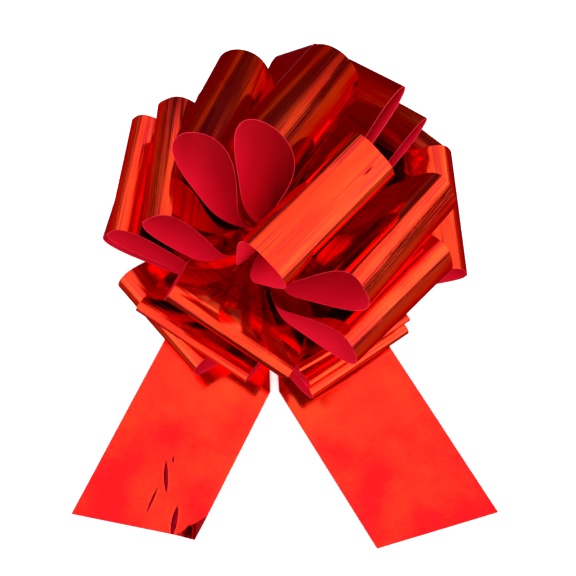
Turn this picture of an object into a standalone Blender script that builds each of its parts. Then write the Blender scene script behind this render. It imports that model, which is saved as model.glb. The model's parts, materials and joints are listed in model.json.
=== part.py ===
"""Pre-made pull bow: two wide film ribbons gathered into loops on a stack of welded necks, with two tails.

It lies on its back. The origin is on the flat underside of the lowest weld. +Z points out of the gift
that the bow sits on, and the tails point towards -Y.
"""

import math

import bmesh
import bpy
from mathutils import Matrix, Vector

MM = 0.001

# Ribbon
RIBBON_WIDTH = 50.0 * MM
FILM = 0.4 * MM  # thicker than the real film, so that it stays a solid
NECK_WIDTH = 8.0 * MM
LOOP_TAPER = 30.0 * MM  # a loop's edges open from the neck to the full width over this length

# Stack of necks, one weld under each level
LEVELS = 10
LEVEL_PITCH = 5.2 * MM
FIRST_NECK = 7.0 * MM
STACK_RADIUS = 5.5 * MM  # a loop leaves the stack where it clears the welds
STEEPEST_START = 9.0 * MM
NECK_GAP = 1.0 * MM  # between the two ends of one loop
WELD_SIZE = (8.0 * MM, 6.4 * MM)
WELD_THICKNESS = 1.2 * MM
BASE_WELD_SIZE = (14.0 * MM, 11.0 * MM)
SLOT_SIZE = (5.8 * MM, 1.0 * MM)
SLOT_OFFSET = 1.6 * MM  # each pull ribbon's distance from the middle of the stack

# Pull ribbons and the knot that holds them tight
PULL_WIDTH = 5.0 * MM
PULL_THICKNESS = 0.3 * MM
PULL_TOP = 57.0 * MM
PULL_FOOT = 2.6 * MM  # the ribbons turn outwards at about this height, one above the other
PULL_STEP = 0.4 * MM
KNOT_CENTRE = (0.0, 10.5 * MM, 2.8 * MM)
KNOT_RADII = (3.6 * MM, 2.4 * MM, 2.0 * MM)

# Tails
TAIL_START = 9.0 * MM
TAIL_TAPER = 44.0 * MM
TAIL_SKEW = math.tan(math.radians(16.0))  # each end is cut so that its inner edge is the shorter one

LOOP_STEPS = 30  # segments round a loop
FATTEST = 2.5  # power that puts a loop's fattest place near its far end

# Each loop's own shape. Angles are in degrees and lengths in millimetres.
# level: its place in the stack. azimuth, elevation: where it points. roll: its turn about that line.
# bow: how far its far end is bent to one side.
LOOPS = {
    "loop_back_right": dict(level=9, azimuth=63, elevation=60, roll=86, length=71, fatness=19, bow=-6),
    "loop_top": dict(level=9, azimuth=334, elevation=74, roll=-18, length=71, fatness=15, bow=1),
    "loop_back_left": dict(level=8, azimuth=112, elevation=52, roll=57, length=68, fatness=17, bow=-3),
    "loop_right_high": dict(level=8, azimuth=338, elevation=46, roll=-25, length=75, fatness=13, bow=8),
    "loop_left_high": dict(level=7, azimuth=153, elevation=52, roll=30, length=65, fatness=9, bow=-2),
    "loop_right_front": dict(level=7, azimuth=324, elevation=37, roll=-16, length=71, fatness=14, bow=2),
    "loop_front_left_high": dict(level=6, azimuth=252, elevation=43, roll=-21, length=60, fatness=6, bow=-1),
    "loop_back_right_high": dict(level=6, azimuth=59, elevation=23, roll=-56, length=78, fatness=7, bow=-4),
    "loop_back_right_middle": dict(level=5, azimuth=48, elevation=13, roll=-44, length=76, fatness=4, bow=3),
    "loop_back_middle": dict(level=5, azimuth=94, elevation=21, roll=-76, length=77, fatness=5, bow=-16),
    "loop_left_middle": dict(level=4, azimuth=160, elevation=40, roll=21, length=72, fatness=9, bow=-1),
    "loop_right_side": dict(level=4, azimuth=7, elevation=26, roll=-10, length=78, fatness=7, bow=-1),
    "loop_left_low": dict(level=3, azimuth=160, elevation=26, roll=21, length=73, fatness=11, bow=2),
    "loop_front_right_high": dict(level=3, azimuth=309, elevation=27, roll=-17, length=57, fatness=4, bow=1),
    "loop_front_left_middle": dict(level=2, azimuth=234, elevation=31, roll=5, length=59, fatness=4, bow=1),
    "loop_back_right_low": dict(level=2, azimuth=34, elevation=-2, roll=-33, length=79, fatness=7, bow=20),
    "loop_front_right_middle": dict(level=1, azimuth=310, elevation=22, roll=-16, length=60, fatness=4, bow=2),
    "loop_back_low": dict(level=1, azimuth=123, elevation=5, roll=3, length=66, fatness=13, bow=0),
    "loop_front_left_low": dict(level=0, azimuth=215, elevation=25, roll=15, length=60, fatness=10, bow=0),
    "loop_front_right_low": dict(level=0, azimuth=308, elevation=14, roll=-16, length=61, fatness=7, bow=4),
}
# end: the middle of the cut end's distance from the stack. inner_side: which edge faces the other tail.
TAILS = {
    "tail_left": dict(azimuth=243, end=122, inner_side=1),
    "tail_right": dict(azimuth=302, end=130, inner_side=-1),
}

METALLIC_RED = (0.80, 0.03, 0.02)
PULL_RED = (0.55, 0.01, 0.02)
WELD_RED = (0.60, 0.02, 0.02)


def clear_scene():
    for thing in list(bpy.data.objects):
        bpy.data.objects.remove(thing, do_unlink=True)


def make_material(name, colour, metallic, roughness):
    material = bpy.data.materials.new(name)
    material.use_nodes = True
    shader = material.node_tree.nodes["Principled BSDF"]
    shader.inputs["Base Color"].default_value = (*colour, 1.0)
    shader.inputs["Metallic"].default_value = metallic
    shader.inputs["Roughness"].default_value = roughness
    material.diffuse_color = (*colour, 1.0)
    return material


def add_object(name, data, material, collection):
    thing = bpy.data.objects.new(name, data)
    thing.data.materials.append(material)
    collection.objects.link(thing)
    return thing


def level_height(level):
    return FIRST_NECK + level * LEVEL_PITCH


def loop_matrix(shape):
    """Local X runs out along the loop, Y across the ribbon and Z through its thickness."""
    azimuth = math.radians(shape["azimuth"])
    elevation = math.radians(shape["elevation"])
    outward = Vector((
        math.cos(azimuth) * math.cos(elevation),
        math.sin(azimuth) * math.cos(elevation),
        math.sin(elevation),
    ))
    level_across = Vector((-math.sin(azimuth), math.cos(azimuth), 0.0))
    across = Matrix.Rotation(math.radians(shape["roll"]), 3, outward) @ level_across
    through = outward.cross(across)
    turned = Matrix((outward, across, through)).transposed().to_4x4()
    return Matrix.Translation((0.0, 0.0, level_height(shape["level"]))) @ turned


def loop_start(shape):
    """Distance from the stack's axis, along the loop, at which its neck begins."""
    return min(STACK_RADIUS / math.cos(math.radians(shape["elevation"])), STEEPEST_START)


def loop_point(shape, turn):
    """Distance out and height of the loop's middle line, where turn goes from 0 to 1 round the loop."""
    start = loop_start(shape)
    length = shape["length"] * MM
    reach = (1.0 - math.cos(math.tau * turn)) / 2.0
    out = start + (length - start) * reach
    fattest = FATTEST / (FATTEST + 0.5)
    scale = fattest**FATTEST * math.sqrt(1.0 - fattest)
    side = 1.0 if turn < 0.5 else -1.0
    bulge = shape["fatness"] * MM / 2.0 * reach**FATTEST * math.sqrt(max(0.0, 1.0 - reach)) / scale
    gap = NECK_GAP / 2.0 * math.cos(math.pi * turn)
    bend = shape["bow"] * MM * (out / length) ** 2
    return out, side * bulge + gap + bend


def loop_width(out, start):
    opened = min(1.0, (out - start) / LOOP_TAPER)
    return NECK_WIDTH + (RIBBON_WIDTH - NECK_WIDTH) * math.sin(math.pi / 2.0 * opened)


def build_loop(name, shape, material, collection):
    """A strip with straight rulings, thickened. The object's origin is at the neck, where it bends."""
    start = loop_start(shape)
    mesh = bmesh.new()
    rows = []
    for step in range(LOOP_STEPS + 1):
        out, height = loop_point(shape, step / LOOP_STEPS)
        half = loop_width(out, start) / 2.0
        rows.append([mesh.verts.new((out - start, side * half, height)) for side in (-1, 1)])
    for near, far in zip(rows, rows[1:]):
        mesh.faces.new((near[0], near[1], far[1], far[0]))
    data = bpy.data.meshes.new(name)
    mesh.to_mesh(data)
    mesh.free()
    thing = add_object(name, data, material, collection)
    thing.matrix_world = loop_matrix(shape) @ Matrix.Translation((start, 0.0, 0.0))
    film = thing.modifiers.new("film", "SOLIDIFY")
    film.thickness = FILM
    film.offset = 0.0
    film.use_even_offset = True
    return thing


def tail_outline(shape):
    """Half widths open evenly from the neck, and the end is cut askew."""
    half = RIBBON_WIDTH / 2.0
    neck = NECK_WIDTH / 2.0
    length = shape["end"] * MM - TAIL_START
    skew = shape["inner_side"] * half * TAIL_SKEW
    return [
        (0.0, neck),
        (TAIL_TAPER, half),
        (length - skew, half),
        (length + skew, -half),
        (TAIL_TAPER, -half),
        (0.0, -neck),
    ]


def flat_plate(name, outlines, thickness, material, collection):
    """A flat plate in XY from closed outlines: the first is the edge, the others are holes."""
    curve = bpy.data.curves.new(name, "CURVE")
    curve.dimensions = "2D"
    curve.fill_mode = "BOTH"
    curve.extrude = thickness / 2.0
    for outline in outlines:
        spline = curve.splines.new("POLY")
        spline.points.add(len(outline) - 1)
        for point, (x, y) in zip(spline.points, outline):
            point.co = (x, y, 0.0, 1.0)
        spline.use_cyclic_u = True
    return add_object(name, curve, material, collection)


def rectangle(width, depth, centre_y=0.0):
    return [
        (sx * width / 2.0, centre_y + sy * depth / 2.0)
        for sx, sy in ((-1, -1), (1, -1), (1, 1), (-1, 1))
    ]


def build_tail(name, shape, material, collection):
    tail = flat_plate(name, [tail_outline(shape)], FILM, material, collection)
    turn = math.radians(shape["azimuth"])
    tail.location = (TAIL_START * math.cos(turn), TAIL_START * math.sin(turn), FILM / 2.0)
    tail.rotation_euler = (0.0, 0.0, turn)
    return tail


def build_weld(name, size, centre_z, material, collection):
    """A welded neck with the two slots that the pull ribbons run through."""
    outlines = [rectangle(*size)]
    for side in (-1, 1):
        outlines.append(rectangle(*SLOT_SIZE, centre_y=side * SLOT_OFFSET))
    weld = flat_plate(name, outlines, WELD_THICKNESS, material, collection)
    weld.location = (0.0, 0.0, centre_z)
    return weld


def build_base_weld(material, collection):
    weld = flat_plate("base_weld", [rectangle(*BASE_WELD_SIZE)], WELD_THICKNESS, material, collection)
    weld.location = (0.0, 0.0, WELD_THICKNESS / 2.0)
    return weld


def build_pull_ribbon(name, side, material, collection):
    """Straight up through the stack, with its foot turned towards the knot."""
    y = side * SLOT_OFFSET
    foot_y = KNOT_CENTRE[1] - KNOT_RADII[1] - 0.3 * MM
    foot_z = PULL_FOOT + side * PULL_STEP
    path = [(y, PULL_TOP), (y, foot_z), (foot_y, foot_z)]
    mesh = bmesh.new()
    rows = [[mesh.verts.new((x * PULL_WIDTH / 2.0, py, pz)) for x in (-1, 1)] for py, pz in path]
    for near, far in zip(rows, rows[1:]):
        mesh.faces.new((near[0], near[1], far[1], far[0]))
    data = bpy.data.meshes.new(name)
    mesh.to_mesh(data)
    mesh.free()
    ribbon = add_object(name, data, material, collection)
    strip = ribbon.modifiers.new("strip", "SOLIDIFY")
    strip.thickness = PULL_THICKNESS
    strip.offset = 0.0
    strip.use_even_offset = True
    return ribbon


def build_knot(material, collection):
    mesh = bmesh.new()
    bmesh.ops.create_uvsphere(mesh, u_segments=16, v_segments=8, radius=1.0)
    bmesh.ops.scale(mesh, vec=KNOT_RADII, verts=mesh.verts)
    data = bpy.data.meshes.new("knot")
    mesh.to_mesh(data)
    mesh.free()
    knot = add_object("knot", data, material, collection)
    knot.location = KNOT_CENTRE
    return knot


def main():
    clear_scene()
    bow = bpy.data.collections.new("pull_bow")
    bpy.context.scene.collection.children.link(bow)
    film = make_material("metallic_film", METALLIC_RED, 1.0, 0.25)
    narrow = make_material("pull_ribbon", PULL_RED, 0.0, 0.45)
    welded = make_material("welded_film", WELD_RED, 0.6, 0.4)

    for name, shape in LOOPS.items():
        build_loop(name, shape, film, bow)
    for name, shape in TAILS.items():
        build_tail(name, shape, film, bow)
    build_base_weld(welded, bow)
    for level in range(LEVELS):
        height = level_height(level) - LEVEL_PITCH / 2.0
        build_weld(f"neck_weld_{level + 1:02d}", WELD_SIZE, height, welded, bow)
    build_pull_ribbon("pull_ribbon_front", -1, narrow, bow)
    build_pull_ribbon("pull_ribbon_back", 1, narrow, bow)
    build_knot(narrow, bow)


main()
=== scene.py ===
import json
import math

import bpy
import numpy as np
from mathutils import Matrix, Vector


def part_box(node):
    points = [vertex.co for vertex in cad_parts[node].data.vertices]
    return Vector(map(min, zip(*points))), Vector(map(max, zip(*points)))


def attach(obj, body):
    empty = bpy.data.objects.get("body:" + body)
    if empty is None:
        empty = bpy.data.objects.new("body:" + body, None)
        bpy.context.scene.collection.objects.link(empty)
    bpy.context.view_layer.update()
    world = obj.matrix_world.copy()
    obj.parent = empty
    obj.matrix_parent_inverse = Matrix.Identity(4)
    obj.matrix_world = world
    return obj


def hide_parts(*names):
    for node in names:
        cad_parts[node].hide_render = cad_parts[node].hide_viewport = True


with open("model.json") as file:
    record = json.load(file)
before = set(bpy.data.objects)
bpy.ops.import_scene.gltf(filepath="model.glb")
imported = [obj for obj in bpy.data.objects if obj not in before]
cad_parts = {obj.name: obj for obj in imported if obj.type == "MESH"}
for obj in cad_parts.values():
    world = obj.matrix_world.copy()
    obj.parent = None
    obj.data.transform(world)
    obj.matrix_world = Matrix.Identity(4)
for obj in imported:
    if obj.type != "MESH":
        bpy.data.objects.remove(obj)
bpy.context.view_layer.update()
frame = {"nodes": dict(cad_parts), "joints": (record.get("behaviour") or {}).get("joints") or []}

mm = 0.001
joints = {joint["child"]: joint for joint in frame["joints"]}
print("frame loaded,", len(joints), "moving pieces")


class Wire:
    # an output socket: an expression on it adds its Math nodes
    def __init__(self, graph, socket):
        self.graph = graph
        self.socket = socket

    def maths(self, operation, *others):
        values = dict(enumerate((self, *others)))
        return self.graph.node("ShaderNodeMath", {"operation": operation}, values)

    def also(self, output):
        return Wire(self.graph, self.socket.node.outputs[output])

    def __add__(self, other):
        return self.maths("ADD", other)

    def __sub__(self, other):
        return self.maths("SUBTRACT", other)

    def __mul__(self, other):
        return self.maths("MULTIPLY", other)

    def __truediv__(self, other):
        return self.maths("DIVIDE", other)

    def __pow__(self, other):
        return self.maths("POWER", other)

    def __rsub__(self, other):
        return self * -1.0 + other

    __radd__ = __add__
    __rmul__ = __mul__


class Graph:
    def __init__(self, tree):
        self.tree = tree
        tree.nodes.clear()

    def node(self, kind, settings=None, values=None, out=0):
        made = self.tree.nodes.new(kind)
        for key, value in (settings or {}).items():
            if key == "stops":
                self.setStops(made.color_ramp, value)
            else:
                setattr(made, key, value)
        for key, value in (values or {}).items():
            if isinstance(value, Wire):
                self.tree.links.new(value.socket, made.inputs[key])
            else:
                made.inputs[key].default_value = value
        return Wire(self, made.outputs[out]) if made.outputs else made

    def setStops(self, ramp, stops):
        while len(ramp.elements) < len(stops):
            ramp.elements.new(0.5)
        for element, (place, colour) in zip(ramp.elements, stops):
            element.position = place
            element.color = (*colour, 1.0)

    def mixColours(self, share, first, second):
        values = {"Factor": share, 6: first, 7: second}
        return self.node("ShaderNodeMix", {"data_type": "RGBA"}, values, out=2)

    def stretched(self, vector, *scale):
        settings = {"operation": "MULTIPLY"}
        return self.node("ShaderNodeVectorMath", settings, {0: vector, 1: scale})


def newTree(name, inputs):
    # a geometry tree with these named inputs, and one geometry output
    tree = bpy.data.node_groups.new(name, "GeometryNodeTree")
    graph = Graph(tree)
    for label, kind in inputs.items():
        tree.interface.new_socket(label, in_out="INPUT", socket_type="NodeSocket" + kind)
    tree.interface.new_socket("Geometry", in_out="OUTPUT", socket_type="NodeSocketGeometry")
    return graph, graph.node("NodeGroupInput")


def closeTree(graph, shape, given):
    real = graph.node("GeometryNodeRealizeInstances", None, {0: shape})
    dressed = graph.node("GeometryNodeSetMaterial", None, {0: real, "Material": given.also("Material")})
    graph.node("NodeGroupOutput", None, {0: dressed})
    return graph.tree


def plainMesh(piece):
    # the evaluated shape as a plain mesh, with the modifiers gone
    graph = bpy.context.evaluated_depsgraph_get()
    data = bpy.data.meshes.new_from_object(piece.evaluated_get(graph))
    piece.modifiers.clear()
    piece.data = data
    return piece


def grow(name, tree, inputs):
    # makes a piece with a geometry tree
    piece = bpy.data.objects.new(name, bpy.data.meshes.new(name))
    bpy.context.scene.collection.objects.link(piece)
    shape = piece.modifiers.new("shape", "NODES")
    shape.node_group = tree
    for item in tree.interface.items_tree:
        if item.in_out == "INPUT" and item.name in inputs:
            shape[item.identifier] = inputs[item.name]
    return plainMesh(piece)


# the ribbon's mirror side; colours are linear red, green and blue
filmFinish = {
    "deep": (0.84, 0.010, 0.012),
    "bright": (1.0, 0.085, 0.016),
    # painted shade: the dark colour laid along the crease lines
    "creaseShade": (0.42, 0.006, 0.026),
    # painted shade laid on the pressed folds
    "fold": (0.16, 0.001, 0.006),
    "edge": (1.0, 0.08, 0.14),  # tint of the reflections at grazing angles
    "streakPitch": 1.2 * mm,  # from one drawn line to the next
    "streakLength": 45.0 * mm,
    "streakContrast": 3.6,
    "streakShare": 0.40,
    "linePitch": 2.4 * mm,
    "lineContrast": 14.0,
    "lineMiddle": -1.6,  # the lower it is, the fewer the lines
    "lineShare": 0.5,
    "grainPitch": 0.4 * mm,
    "grainLength": 2.0 * mm,
    "grainContrast": 2.5,
    "grainShare": 0.20,
    "cloudSize": 24.0 * mm,
    "cloudContrast": (1.2, 3.0),  # on film without streaks, and with them
    "cloudShare": (0.85, 0.40),
    "fadeLength": 100.0 * mm,
    "foldShadeContrast": 3.0,
    "roughness": (0.01, 0.10, 0.06),  # everywhere, by the grain, by the clouds
    "height": (0.6, 0.3, 0.06),  # of streaks, lines and grain, as shares of the bump
    "bump": 0.8,
    "bumpDepth": 0.10 * mm,
}

# its satin inner side
liningFinish = {
    "shade": (0.66, 0.002, 0.022),
    "light": (0.86, 0.004, 0.038),
    "cloudScale": (45.0, 30.0),  # how many to the metre, along and across
    "cloudContrast": 2.2,
    "grainScale": (2200.0, 300.0),
    "metallic": 0.12,
    "roughness": (0.36, 0.12),  # everywhere, and by the grain
    "bump": 0.2,
    "bumpDepth": 0.02 * mm,
}

wovenFinish = {
    "shade": (0.32, 0.002, 0.008),
    "light": (0.55, 0.008, 0.015),
    "threads": 2600.0,  # turns of the weave to the metre, in radians
    "roughness": 0.45,
    "bump": 0.5,
    "bumpDepth": 0.05 * mm,
}

weldFinish = {
    "shade": (0.34, 0.004, 0.010),
    "light": (0.66, 0.015, 0.015),
    "meltScale": 500.0,
    "metallic": 0.7,
    "roughness": (0.2, 0.3),  # everywhere, and by the melt
    "bump": 0.6,
    "bumpDepth": 0.1 * mm,
}

pieceGap = 900.0  # how far apart the patterns of two pieces lie
lineGap = 700.0  # and their lines


def newMaterial(name):
    material = bpy.data.materials.new(name)
    material.use_nodes = True
    graph = Graph(material.node_tree)
    return material, graph


def dress(graph, values):
    shader = graph.node("ShaderNodeBsdfPrincipled", None, values)
    graph.node("ShaderNodeOutputMaterial", None, {"Surface": shader})


def filmPlace(graph):
    # x runs along the ribbon, y across it, z tells one piece from another; all in metres
    return graph.node("ShaderNodeAttribute", {"attribute_name": "film"}, out="Vector")


def noise(graph, place, detail):
    return graph.node("ShaderNodeTexNoise", None, {"Vector": place, "Scale": 1.0, "Detail": detail})


def clamped(wire):
    # kept between 0 and 1
    return wire.maths("MAXIMUM", 0.0).maths("MINIMUM", 1.0)


def sharper(wire, gain, middle=0.5):
    # more contrast about the middle
    return clamped((wire - 0.5) * gain + middle)


def bumped(graph, kit, height):
    values = {"Strength": kit["bump"], "Distance": kit["bumpDepth"], "Height": height}
    return graph.node("ShaderNodeBump", None, values)


def makeMirrorFilm(name, streaks, ends):
    # streaks is how strongly the drawn lines show, ends how much redder the far end is
    kit = filmFinish
    material, graph = newMaterial(name)
    place = filmPlace(graph)
    drawn = graph.stretched(place, 1 / kit["streakPitch"], 1 / kit["streakLength"], pieceGap)
    drawn = noise(graph, drawn, detail=3.0)
    line = graph.stretched(place, 1 / kit["linePitch"], 1 / kit["streakLength"], lineGap)
    line = sharper(noise(graph, line, detail=0.0), kit["lineContrast"], kit["lineMiddle"])
    grain = graph.stretched(place, 1 / kit["grainPitch"], 1 / kit["grainLength"], pieceGap)
    grain = noise(graph, grain, detail=2.0)
    cloud = graph.stretched(place, 1 / kit["cloudSize"], 1 / kit["cloudSize"], pieceGap)
    cloud = noise(graph, cloud, detail=3.0)
    ranges = (kit["cloudContrast"], kit["cloudShare"])
    cloudContrast, cloudShare = (plain + (streaked - plain) * streaks for plain, streaked in ranges)
    fade = graph.node("ShaderNodeSeparateXYZ", None, {0: place}) * (ends / kit["fadeLength"])
    tone = sharper(drawn, kit["streakContrast"]) * (kit["streakShare"] * streaks)
    tone = tone + sharper(cloud, cloudContrast) * cloudShare
    tone = tone + sharper(grain, kit["grainContrast"]) * kit["grainShare"]
    tone = (tone - fade).maths("MAXIMUM", 0.0)
    colour = graph.mixColours(tone, (*kit["deep"], 1.0), (*kit["bright"], 1.0))
    # painted shade: darkens the film along the crease lines, whose bump is real relief
    colour = graph.mixColours(line * (kit["lineShare"] * streaks), colour, (*kit["creaseShade"], 1.0))
    # painted shade: the pressed folds are darkened in colour by how high they stand
    fold = graph.node("ShaderNodeAttribute", {"attribute_name": "fold"}, out="Fac")
    colour = graph.mixColours(sharper(fold, kit["foldShadeContrast"]), colour, (*kit["fold"], 1.0))
    evenly, byGrain, byCloud = kit["roughness"]
    ofStreaks, ofLines, ofGrain = kit["height"]
    height = drawn * (ofStreaks * streaks) + line * (ofLines * streaks) + grain * ofGrain
    height = height + cloud * (1.0 - streaks)
    dress(graph, {
        "Base Color": colour,
        "Metallic": 1.0,
        "Specular Tint": (*kit["edge"], 1.0),
        "Roughness": grain * byGrain + cloud * byCloud + evenly,
        "Normal": bumped(graph, kit, height),
    })
    return material


def makeLining():
    kit = liningFinish
    material, graph = newMaterial("satin crimson lining")
    place = filmPlace(graph)
    cloud = noise(graph, graph.stretched(place, *kit["cloudScale"], pieceGap), detail=2.0)
    grain = noise(graph, graph.stretched(place, *kit["grainScale"], pieceGap), detail=2.0)
    tone = sharper(cloud, kit["cloudContrast"])
    evenly, byGrain = kit["roughness"]
    dress(graph, {
        "Base Color": graph.mixColours(tone, (*kit["shade"], 1.0), (*kit["light"], 1.0)),
        "Metallic": kit["metallic"],
        "Roughness": grain * byGrain + evenly,
        "Normal": bumped(graph, kit, grain),
    })
    return material


def makeWovenRibbon():
    kit = wovenFinish
    material, graph = newMaterial("woven narrow ribbon")
    place = graph.node("ShaderNodeTexCoord", out="Object")
    across = graph.node("ShaderNodeSeparateXYZ", None, {0: graph.stretched(place, *(kit["threads"],) * 3)})
    weave = across.maths("SINE") * across.also(2).maths("SINE") * 0.5 + 0.5
    dress(graph, {
        "Base Color": graph.mixColours(weave, (*kit["shade"], 1.0), (*kit["light"], 1.0)),
        "Roughness": kit["roughness"],
        "Normal": bumped(graph, kit, weave),
    })
    return material


def makeCrimpedFilm():
    kit = weldFinish
    material, graph = newMaterial("crimped welded film")
    place = graph.node("ShaderNodeTexCoord", out="Object")
    melt = noise(graph, graph.stretched(place, *(kit["meltScale"],) * 3), detail=3.0)
    evenly, byMelt = kit["roughness"]
    dress(graph, {
        "Base Color": graph.mixColours(melt, (*kit["shade"], 1.0), (*kit["light"], 1.0)),
        "Metallic": kit["metallic"],
        "Roughness": melt * byMelt + evenly,
        "Normal": bumped(graph, kit, melt),
    })
    return material


mirrorFilm = makeMirrorFilm("mirror red film", 1.0, 0.0)
flatFilm = makeMirrorFilm("mirror red film of the tails", 0.12, 0.36)
lining = makeLining()
wovenRibbon = makeWovenRibbon()
crimpedFilm = makeCrimpedFilm()
print("finishes made")


# the wide ribbon that loops and tails are made from
ribbon = {
    "width": 50.0 * mm,
    "neck": 8.0 * mm,
    "thickness": 0.16 * mm,
    "solidThickness": 0.4 * mm,  # of the solids that stand for the film
    "sharpAngle": 50.0,
    "loopTaper": 30.0 * mm,
    "tailTaper": 39.0 * mm,
    "loopRoot": 3.0 * mm,  # the film runs on into the stack, to this distance from its middle
    "tailRoot": 7.4 * mm,
    "neckGap": 1.0 * mm,
    "belly": 2.5,  # a higher power puts a loop's fattest place nearer to its far end
    "tip": 2.0,  # 2 is a round far end, and more is a flatter one
    "rows": 180,
    "columns": 34,
    "tailRows": 260,
    "tailColumns": 110,
    "wave": 0.30 * mm,
    "waveDetail": 2.5,
    "waveLength": 0.16,  # share of the loop's length
    "waveAcross": 0.35,
    "tailWaves": (4.0, 0.9),  # along a tail and across half of it
    "tailCorner": (0.30, 1.20),  # which way the curled corner's crease runs, and where it starts
    "tailLift": 0.12 * mm,
    "foldHeight": 0.8 * mm,  # a fold this high gets the full painted fold shade
    "pleat": 2.0 * mm,
    "pleats": 3.0,
    "seedStep": 3.7,
    "tailSeeds": (80.0, 5.3),  # the first tail's, and the step to the next
}
dentSlots = 5
noDent = ((0.5, 0.0, 0.0), (0.1, 0.1, 0.0))


def addDents(graph, given, along, side):
    # small pressed folds: each a short narrow ridge, at a share of the length and of the half width
    total = None
    for number in range(dentSlots):
        spot = graph.node("ShaderNodeSeparateXYZ", None, {0: given.also(f"Dent {number + 1}")})
        size = graph.node("ShaderNodeSeparateXYZ", None, {0: given.also(f"Dent {number + 1} Size")})
        far = along - spot
        aside = side - spot.also(1) - far * size.also(2)
        spread = (far / size) ** 2.0 + (aside / size.also(1)) ** 2.0
        ridge = (spread * -1.0).maths("EXPONENT") * spot.also(2)
        total = ridge if total is None else total + ridge
    return total


def dentInputs(dents):
    inputs = {}
    for number in range(dentSlots):
        place, size = dents[number] if number < len(dents) else noDent
        inputs[f"Dent {number + 1}"] = place
        inputs[f"Dent {number + 1} Size"] = size
    return inputs


def placedFilm(graph, given, grid, out, across, height, along, dents):
    # puts each point in its place, and keeps where it is on the ribbon and how sharply it is folded, which
    # sets the painted fold shade
    offset = None
    for label, amount in (("Outward", out), ("Across", across), ("Through", height)):
        values = {0: given.also(label), "Scale": amount}
        part = graph.node("ShaderNodeVectorMath", {"operation": "SCALE"}, values)
        values = {0: given.also("Origin") if offset is None else offset, 1: part}
        offset = graph.node("ShaderNodeVectorMath", {"operation": "ADD"}, values)
    place = graph.node("ShaderNodeCombineXYZ", None, {0: along, 1: across, 2: given.also("Seed")})
    marked = grid
    fold = dents / ribbon["foldHeight"]
    for label, kind, value in (("film", "FLOAT_VECTOR", place), ("fold", "FLOAT", fold)):
        settings = {"data_type": kind, "domain": "POINT"}
        values = {0: marked, "Name": label, "Value": value}
        marked = graph.node("GeometryNodeStoreNamedAttribute", settings, values)
    return graph.node("GeometryNodeSetPosition", None, {0: marked, "Position": offset})


def filmInputs(*extra):
    inputs = {name: "Vector" for name in ("Origin", "Outward", "Across", "Through")}
    inputs.update({name: "Float" for name in ("Start", "Length", "Width", "Neck", "Taper", "Wave", "Seed")})
    inputs.update({name: "Float" for name in extra})
    for number in range(dentSlots):
        inputs[f"Dent {number + 1}"] = "Vector"
        inputs[f"Dent {number + 1} Size"] = "Vector"
    inputs["Material"] = "Material"
    return inputs


def filmGrid(graph, rows, columns):
    values = {"Size X": 1.0, "Size Y": 1.0, "Vertices X": rows, "Vertices Y": columns}
    grid = graph.node("GeometryNodeMeshGrid", None, values)
    spot = graph.node("ShaderNodeSeparateXYZ", None, {0: graph.node("GeometryNodeInputPosition")})
    return grid, spot + 0.5, spot.also(1) * 2.0


def rippled(graph, place, depth):
    # soft waves up and down, about zero
    return (noise(graph, place, ribbon["waveDetail"]) - 0.5) * depth * 2.0


def makeLoopTree():
    graph, given = newTree("film loop", filmInputs("Root", "Swell", "Tip", "Belly", "Bow", "Pleat"))
    grid, turn, side = filmGrid(graph, ribbon["rows"], ribbon["columns"])
    length = given.also("Length")
    root = given.also("Root")
    reach = 1.0 - (1.0 - turn * 2.0).maths("ABSOLUTE") ** given.also("Tip")
    out = root + (length - root) * reach
    bulge = given.also("Swell") * (1.0 - turn * 2.0) * reach ** given.also("Belly")
    gap = (turn * math.pi).maths("COSINE") * (ribbon["neckGap"] / 2.0)
    bend = given.also("Bow") * (out / length) ** 2.0
    opened = clamped((out - given.also("Start")) / given.also("Taper"))
    neck = given.also("Neck")
    half = (neck + (given.also("Width") - neck) * (opened * (math.pi / 2.0)).maths("SINE")) * 0.5
    where = {0: turn / ribbon["waveLength"], 1: side * ribbon["waveAcross"], 2: given.also("Seed")}
    where = graph.node("ShaderNodeCombineXYZ", None, where)
    wave = rippled(graph, where, given.also("Wave")) * reach
    pleat = (side * (math.pi * ribbon["pleats"])).maths("COSINE") * (1.0 - opened) ** 2.0
    pleat = pleat * opened * given.also("Pleat")
    dents = addDents(graph, given, turn, side)
    height = bulge + gap + bend + wave + pleat + dents
    along = length * turn * 2.0
    shape = placedFilm(graph, given, grid, out, side * half, height, along, dents)
    return closeTree(graph, shape, given)


def makeTailTree():
    graph, given = newTree("film tail", filmInputs("Root", "Skew", "Lift", "Curl"))
    grid, run, side = filmGrid(graph, ribbon["tailRows"], ribbon["tailColumns"])
    root = given.also("Root")
    width = given.also("Width")
    end = given.also("Length") - side * given.also("Skew") * width * 0.5
    out = root + (end - root) * run
    opened = clamped((out - given.also("Start")) / given.also("Taper"))
    half = (given.also("Neck") + (width - given.also("Neck")) * opened) * 0.5
    lengthways, sideways = ribbon["tailWaves"]
    where = {0: run * lengthways, 1: side * sideways, 2: given.also("Seed")}
    wave = noise(graph, graph.node("ShaderNodeCombineXYZ", None, where), detail=1.0)
    wave = wave * given.also("Wave") * opened
    slant, start = ribbon["tailCorner"]
    corner = (run + side * given.also("Skew").maths("SIGN") * slant - start).maths("MAXIMUM", 0.0)
    dents = addDents(graph, given, run, side)
    height = wave + given.also("Lift") + corner * given.also("Curl") + dents
    shape = placedFilm(graph, given, grid, out, side * half, height, out, dents)
    return closeTree(graph, shape, given)


def facesArea(piece):
    return sum(face.area for face in piece.data.polygons)


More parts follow.
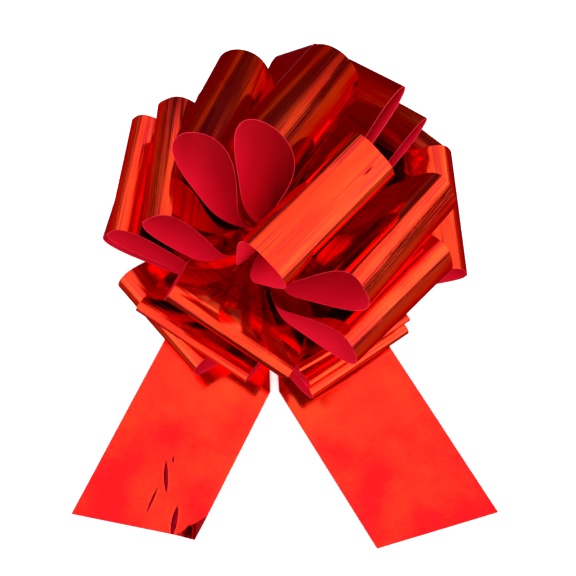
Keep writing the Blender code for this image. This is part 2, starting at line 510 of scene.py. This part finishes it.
def finishFilm(piece, body, flat):
    # gives the film its thickness, mirror outside and crimson inside
    area = facesArea(piece)
    piece.data.materials.append(lining)
    film = piece.modifiers.new("film", "SOLIDIFY")
    film.thickness = ribbon["thickness"]
    film.offset = 0.0
    film.material_offset = 1
    film.material_offset_rim = 1
    plainMesh(piece)
    piece.data.name = piece.name
    piece.data.shade_smooth()
    piece.data.set_sharp_from_angle(angle=math.radians(ribbon["sharpAngle"]))
    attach(piece, body)
    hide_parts(body)
    min(area, flat[0] * flat[1])


def settle(piece, body, node):
    piece.data.name = piece.name
    piece.data.shade_smooth()
    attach(piece, body)
    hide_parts(node)


# how full each loop's film is, where it isn't as its solid, and the folds pressed into it;
# a fold is its place (share of the length, share of half the width, height) and its size
# (reach along, reach across, slant)
loopLooks = {
    "loop_top": dict(fatness=19 * mm, tip=3.0, dents=[((0.47, -0.72, 0.6 * mm), (0.012, 0.14, 0.0))]),
    "loop_back_left": dict(fatness=19 * mm, dents=[((0.44, 0.05, 0.35 * mm), (0.09, 0.05, 0.3))]),
    "loop_back_right": dict(fatness=21 * mm),
    "loop_right_high": dict(fatness=16 * mm, tip=3.0),
    "loop_right_front": dict(fatness=16 * mm, tip=2.8),
    "loop_left_high": dict(fatness=14 * mm, tip=3.0, belly=1.7),
    "loop_left_middle": dict(fatness=11 * mm, tip=2.8, belly=2.0),
    "loop_left_low": dict(fatness=9 * mm, tip=2.5, shorter=5 * mm),
    "loop_right_side": dict(fatness=13 * mm, tip=3.0),
    "loop_back_right_high": dict(fatness=3.5 * mm),
    "loop_back_right_middle": dict(fatness=3 * mm),
    "loop_front_left_low": dict(fatness=11.5 * mm),
    "loop_front_left_middle": dict(fatness=6.5 * mm),
    "loop_front_left_high": dict(fatness=8 * mm),
}


def swell(fatness, tip, belly):
    # the height that gives a loop this fatness where it is fattest
    widest = 1.0 / (1.0 + tip * belly)
    return fatness / 2.0 / (widest ** (1.0 / tip) * (1.0 - widest) ** belly)


def loopFrame(name):
    # reads a loop's directions and sizes off its joint and its solid
    joint = joints[name]
    pivot = Vector(joint["pos_m"])
    across = Vector(joint["axis"]).normalized()
    flat = Vector((pivot.x, pivot.y, 0.0)).normalized()
    steep = math.atan2(-across.dot(flat), across.z)
    steep = (steep + math.pi / 2.0) % math.pi - math.pi / 2.0
    outward = flat * math.cos(steep) + Vector((0.0, 0.0, math.sin(steep)))
    across = (across - outward * across.dot(outward)).normalized()
    through = outward.cross(across)
    start = math.hypot(pivot.x, pivot.y) / math.cos(steep)
    origin = pivot - outward * start
    axes = np.array((outward, across, through))
    points = np.array([vertex.co for vertex in frame["nodes"][name].data.vertices])
    local = (points - np.array(origin)) @ axes.T
    film = ribbon["solidThickness"]
    length = local[:, 0].max() - film / 2.0
    tip = local[local[:, 0] > length - film]
    bow = (tip[:, 2].max() + tip[:, 2].min()) / 2.0
    bulge = local[:, 2] - bow * (local[:, 0] / length) ** 2
    return {
        "Origin": origin,
        "Outward": outward,
        "Across": across,
        "Through": through,
        "Start": start,
        "Length": length,
        "Bow": bow,
    }, bulge.max() - bulge.min() - film


loopTree = makeLoopTree()
loopNames = sorted(name for name in joints if name.startswith("loop"))
for number, name in enumerate(loopNames):
    inputs, fatness = loopFrame(name)
    looks = loopLooks.get(name, {})
    tip = looks.get("tip", ribbon["tip"])
    belly = looks.get("belly", ribbon["belly"])
    inputs["Length"] -= looks.get("shorter", 0.0)
    inputs["Tip"] = tip
    inputs["Belly"] = belly
    inputs["Swell"] = swell(looks.get("fatness", fatness), tip, belly)
    inputs["Width"] = ribbon["width"]
    inputs["Neck"] = ribbon["neck"]
    inputs["Taper"] = ribbon["loopTaper"]
    inputs["Root"] = ribbon["loopRoot"]
    inputs["Wave"] = ribbon["wave"]
    inputs["Pleat"] = ribbon["pleat"]
    inputs["Seed"] = number * ribbon["seedStep"]
    inputs["Material"] = mirrorFilm
    inputs.update(dentInputs(looks.get("dents", [])))
    flat = (ribbon["width"], 2.0 * inputs["Length"])
    finishFilm(grow("film_" + name, loopTree, inputs), name, flat)
print("loops made")


# inner is the side that faces the other tail, and curl lifts a far corner
tails = {
    "tail_left": dict(
        inner=1.0,
        curl=0.045,
        wave=0.9 * mm,
        dents=[
            ((0.735, 0.076, 0.7 * mm), (0.014, 0.024, 2.0)),
            ((0.800, 0.103, 1.2 * mm), (0.052, 0.034, 2.2)),
            ((0.892, 0.075, 0.8 * mm), (0.060, 0.026, 0.3)),
            ((0.950, 0.560, 1.4 * mm), (0.050, 0.040, 1.2)),
            ((0.985, 0.860, 1.2 * mm), (0.030, 0.060, 1.5)),
        ],
    ),
    "tail_right": dict(inner=-1.0, curl=0.0, wave=0.9 * mm, dents=[]),
}


def tailFrame(name, inner):
    joint = joints[name]
    pivot = Vector(joint["pos_m"])
    outward = Vector((pivot.x, pivot.y, 0.0)).normalized()
    across = Vector((-outward.y, outward.x, 0.0))
    points = np.array([vertex.co for vertex in frame["nodes"][name].data.vertices])
    out = points @ np.array(outward)
    aside = points @ np.array(across)
    nearEdge = 0.4 * ribbon["width"]
    innerEnd = out[aside * inner > nearEdge].max()
    outerEnd = out[aside * inner < -nearEdge].max()
    return {
        "Origin": Vector((0.0, 0.0, 0.0)),
        "Outward": outward,
        "Across": across,
        "Through": Vector((0.0, 0.0, 1.0)),
        "Start": math.hypot(pivot.x, pivot.y),
        "Length": (innerEnd + outerEnd) / 2.0,
        "Skew": inner * (outerEnd - innerEnd) / ribbon["width"],
    }


tailTree = makeTailTree()
for number, (name, kit) in enumerate(tails.items()):
    inputs = tailFrame(name, kit["inner"])
    inputs["Width"] = ribbon["width"]
    inputs["Neck"] = ribbon["neck"]
    inputs["Taper"] = ribbon["tailTaper"]
    inputs["Root"] = ribbon["tailRoot"]
    inputs["Lift"] = ribbon["tailLift"]
    inputs["Wave"] = kit["wave"]
    inputs["Curl"] = kit["curl"]
    firstSeed, seedStep = ribbon["tailSeeds"]
    inputs["Seed"] = firstSeed + number * seedStep
    inputs["Material"] = flatFilm
    inputs.update(dentInputs(kit["dents"]))
    flat = (ribbon["width"], inputs["Length"] + abs(inputs["Skew"]) * ribbon["width"] / 2.0)
    finishFilm(grow("film_" + name, tailTree, inputs), name, flat)
print("tails made")


# the welds' pressed pattern, and the slots that the pull ribbons run through
crimp = {
    "pitch": 0.9 * mm,
    "ridge": 0.13 * mm,
    "skin": 0.9 * mm,
    "columns": 46,
    "rows": 38,
    "slot": (5.8 * mm, 1.0 * mm),
    "slotOffset": 1.6 * mm,
}


def makeWeldTree():
    inputs = {"Centre": "Vector"}
    inputs.update({name: "Float" for name in ("Width", "Depth", "Pitch", "Ridge")})
    inputs.update({name: "Float" for name in ("Slot Width", "Slot Depth", "Slot Offset")})
    inputs["Material"] = "Material"
    graph, given = newTree("crimped weld", inputs)
    values = {"Size X": given.also("Width"), "Size Y": given.also("Depth")}
    values.update({"Vertices X": crimp["columns"], "Vertices Y": crimp["rows"]})
    grid = graph.node("GeometryNodeMeshGrid", None, values)
    spot = graph.node("ShaderNodeSeparateXYZ", None, {0: graph.node("GeometryNodeInputPosition")})
    away = spot.also(1).maths("ABSOLUTE") - given.also("Slot Offset")
    inSlot = (given.also("Slot Width") * 0.5).maths("GREATER_THAN", spot.maths("ABSOLUTE"))
    inSlot = inSlot * (given.also("Slot Depth") * 0.5).maths("GREATER_THAN", away.maths("ABSOLUTE"))
    cut = graph.node("GeometryNodeDeleteGeometry", {"domain": "FACE"}, {0: grid, 1: inSlot})
    turns = 2.0 * math.pi
    ridges = (spot * turns / given.also("Pitch")).maths("SINE")
    ridges = ridges * (spot.also(1) * turns / given.also("Pitch")).maths("SINE") * given.also("Ridge")
    lift = graph.node("ShaderNodeCombineXYZ", None, {2: ridges})
    offset = graph.node("ShaderNodeVectorMath", {"operation": "ADD"}, {0: lift, 1: given.also("Centre")})
    shape = graph.node("GeometryNodeSetPosition", None, {0: cut, "Offset": offset})
    return closeTree(graph, shape, given)


weldTree = makeWeldTree()
for name in sorted(frame["nodes"]):
    if not (name.startswith("neck_weld") or name == "base_weld"):
        continue
    low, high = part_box(name)
    inputs = {"Centre": (low + high) / 2.0, "Width": high.x - low.x, "Depth": high.y - low.y}
    inputs["Pitch"] = crimp["pitch"]
    inputs["Ridge"] = crimp["ridge"]
    inputs["Slot Width"], inputs["Slot Depth"] = crimp["slot"] if name != "base_weld" else (0.0, 0.0)
    inputs["Slot Offset"] = crimp["slotOffset"]
    inputs["Material"] = crimpedFilm
    weld = grow("crimped_" + name, weldTree, inputs)
    skin = weld.modifiers.new("skin", "SOLIDIFY")
    skin.thickness = crimp["skin"]
    skin.offset = 0.0
    plainMesh(weld)
    settle(weld, "core", name)


knotKit = {"thickness": 1.7 * mm, "points": 150, "roundness": 5}


def makeKnot():
    # a pulled-tight overhand knot: one round strand on a trefoil path, sized to the solid it stands for
    low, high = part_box("knot")
    centre = (low + high) / 2.0
    half = (high - low) / 2.0 - Vector((1.0, 1.0, 1.0)) * knotKit["thickness"] / 2.0
    curve = bpy.data.curves.new("knot path", "CURVE")
    curve.dimensions = "3D"
    strand = curve.splines.new("POLY")
    strand.points.add(knotKit["points"] - 1)
    for number, point in enumerate(strand.points):
        turn = 2.0 * math.pi * number / knotKit["points"]
        x = (math.sin(turn) + 2.0 * math.sin(2.0 * turn)) / 3.0
        y = (math.cos(turn) - 2.0 * math.cos(2.0 * turn)) / 3.0
        z = -math.sin(3.0 * turn)
        point.co = (centre.x + x * half.x, centre.y + y * half.y, centre.z + z * half.z, 1.0)
    strand.use_cyclic_u = True
    curve.bevel_depth = knotKit["thickness"] / 2.0
    curve.bevel_resolution = knotKit["roundness"]
    path = bpy.data.objects.new("knot path", curve)
    bpy.context.scene.collection.objects.link(path)
    graph = bpy.context.evaluated_depsgraph_get()
    data = bpy.data.meshes.new_from_object(path.evaluated_get(graph))
    bpy.data.objects.remove(path)
    piece = bpy.data.objects.new("tied_knot", data)
    bpy.context.scene.collection.objects.link(piece)
    data.materials.clear()
    data.materials.append(wovenRibbon)
    settle(piece, "core", "knot")


makeKnot()
for name in ("pull_ribbon_back", "pull_ribbon_front"):
    node = frame["nodes"][name]
    node.data.materials.clear()
    node.data.materials.append(wovenRibbon)
print("stack made")


studio = {
    "floor": 3.0,
    "floorDrop": 0.2 * mm,
    "floorColour": (0.93, 0.93, 0.93),
    "floorRoughness": 0.7,
    "lampSize": (9.0, 2.7),
    "lampPlace": (0.0, -0.1, 0.85),
    "lampRadiance": 1.25,
    "lampSlope": (0.7, -0.3),  # how much brighter the softbox is at one side than at the other
    "fill": (1.1, 1.1, 1.1),  # the light on what isn't mirror-like
    "backdrop": (1.0, 1.0, 1.0),
}

# what the bow mirrors, from straight down at 0 to straight up at 1
mirrored = {
    "behind": [
        (0.47, (0.16, 0.12, 0.15)),
        (0.495, (0.40, 0.38, 0.40)),
        (0.51, (0.40, 0.38, 0.40)),
        (0.53, (0.11, 0.05, 0.17)),
    ],
    "beside": [
        (0.46, (0.50, 0.48, 0.50)),
        (0.48, (0.11, 0.05, 0.17)),
        (0.547, (0.11, 0.05, 0.17)),
        (0.557, (0.90, 0.90, 0.90)),
    ],
    "asideFrom": 0.45,  # how far to the side the one gives way to the other
    "asideOver": 0.30,
}


def makeFloor():
    half = studio["floor"] / 2.0
    low = -studio["floorDrop"]
    data = bpy.data.meshes.new("floor")
    corners = [(-half, -half, low), (half, -half, low), (half, half, low), (-half, half, low)]
    data.from_pydata(corners, [], [(0, 1, 2, 3)])
    floor = bpy.data.objects.new("floor", data)
    bpy.context.scene.collection.objects.link(floor)
    material, graph = newMaterial("pale floor")
    dress(graph, {"Base Color": (*studio["floorColour"], 1.0), "Roughness": studio["floorRoughness"]})
    data.materials.append(material)
    floor.visible_glossy = False


def makeWorld():
    # dark round the bow, pale low down at its sides, and an even pale backdrop
    world = bpy.data.worlds.new("studio")
    world.use_nodes = True
    graph = Graph(world.node_tree)
    direction = graph.node("ShaderNodeTexCoord", out="Generated")
    aside = graph.node("ShaderNodeSeparateXYZ", None, {0: direction})
    height = aside.also(2) * 0.5 + 0.5
    behind = graph.node("ShaderNodeValToRGB", {"stops": mirrored["behind"]}, {0: height})
    beside = graph.node("ShaderNodeValToRGB", {"stops": mirrored["beside"]}, {0: height})
    share = clamped((aside.maths("ABSOLUTE") - mirrored["asideFrom"]) / mirrored["asideOver"])
    colour = graph.mixColours(share, behind, beside)
    seen = graph.node("ShaderNodeLightPath", out="Is Camera Ray")
    colour = graph.mixColours(seen.also("Is Diffuse Ray"), colour, (*studio["fill"], 1.0))
    colour = graph.mixColours(seen, colour, (*studio["backdrop"], 1.0))
    glow = graph.node("ShaderNodeBackground", None, {"Color": colour, "Strength": 1.0})
    graph.node("ShaderNodeOutputWorld", None, {"Surface": glow})
    bpy.context.scene.world = world


def makeLamp():
    data = bpy.data.lights.new("softbox", "AREA")
    data.shape = "RECTANGLE"
    data.size, data.size_y = studio["lampSize"]
    data.energy = studio["lampRadiance"] * math.pi * data.size * data.size_y
    data.use_nodes = True
    graph = Graph(data.node_tree)
    place = graph.node("ShaderNodeNewGeometry", out="Parametric")
    place = graph.node("ShaderNodeSeparateXYZ", None, {0: place})
    sideways, lengthways = studio["lampSlope"]
    strength = (place - 0.5) * sideways + (place.also(1) - 0.5) * lengthways + 1.0
    glow = graph.node("ShaderNodeEmission", None, {"Strength": strength})
    graph.node("ShaderNodeOutputLight", None, {"Surface": glow})
    lamp = bpy.data.objects.new("softbox", data)
    lamp.location = studio["lampPlace"]
    bpy.context.scene.collection.objects.link(lamp)


view = {
    "elevation": 77.6,
    "distance": 0.402,
    "lens": 57.9,
    "sensor": 36.0,
    "shiftX": 0.033,
    "shiftY": -0.037,
    "nearest": 0.01,
}


def makeCamera():
    data = bpy.data.cameras.new("camera")
    data.lens = view["lens"]
    data.sensor_width = view["sensor"]
    data.shift_x = view["shiftX"]
    data.shift_y = view["shiftY"]
    data.clip_start = view["nearest"]
    camera = bpy.data.objects.new("camera", data)
    tilt = math.radians(view["elevation"])
    camera.location = Vector((0.0, -math.cos(tilt), math.sin(tilt))) * view["distance"]
    camera.rotation_euler = (math.radians(90.0) - tilt, 0.0, 0.0)
    bpy.context.scene.collection.objects.link(camera)
    bpy.context.scene.camera = camera


bpy.context.scene.view_settings.view_transform = "Standard"
makeFloor()
makeWorld()
makeLamp()
makeCamera()
print("studio made")
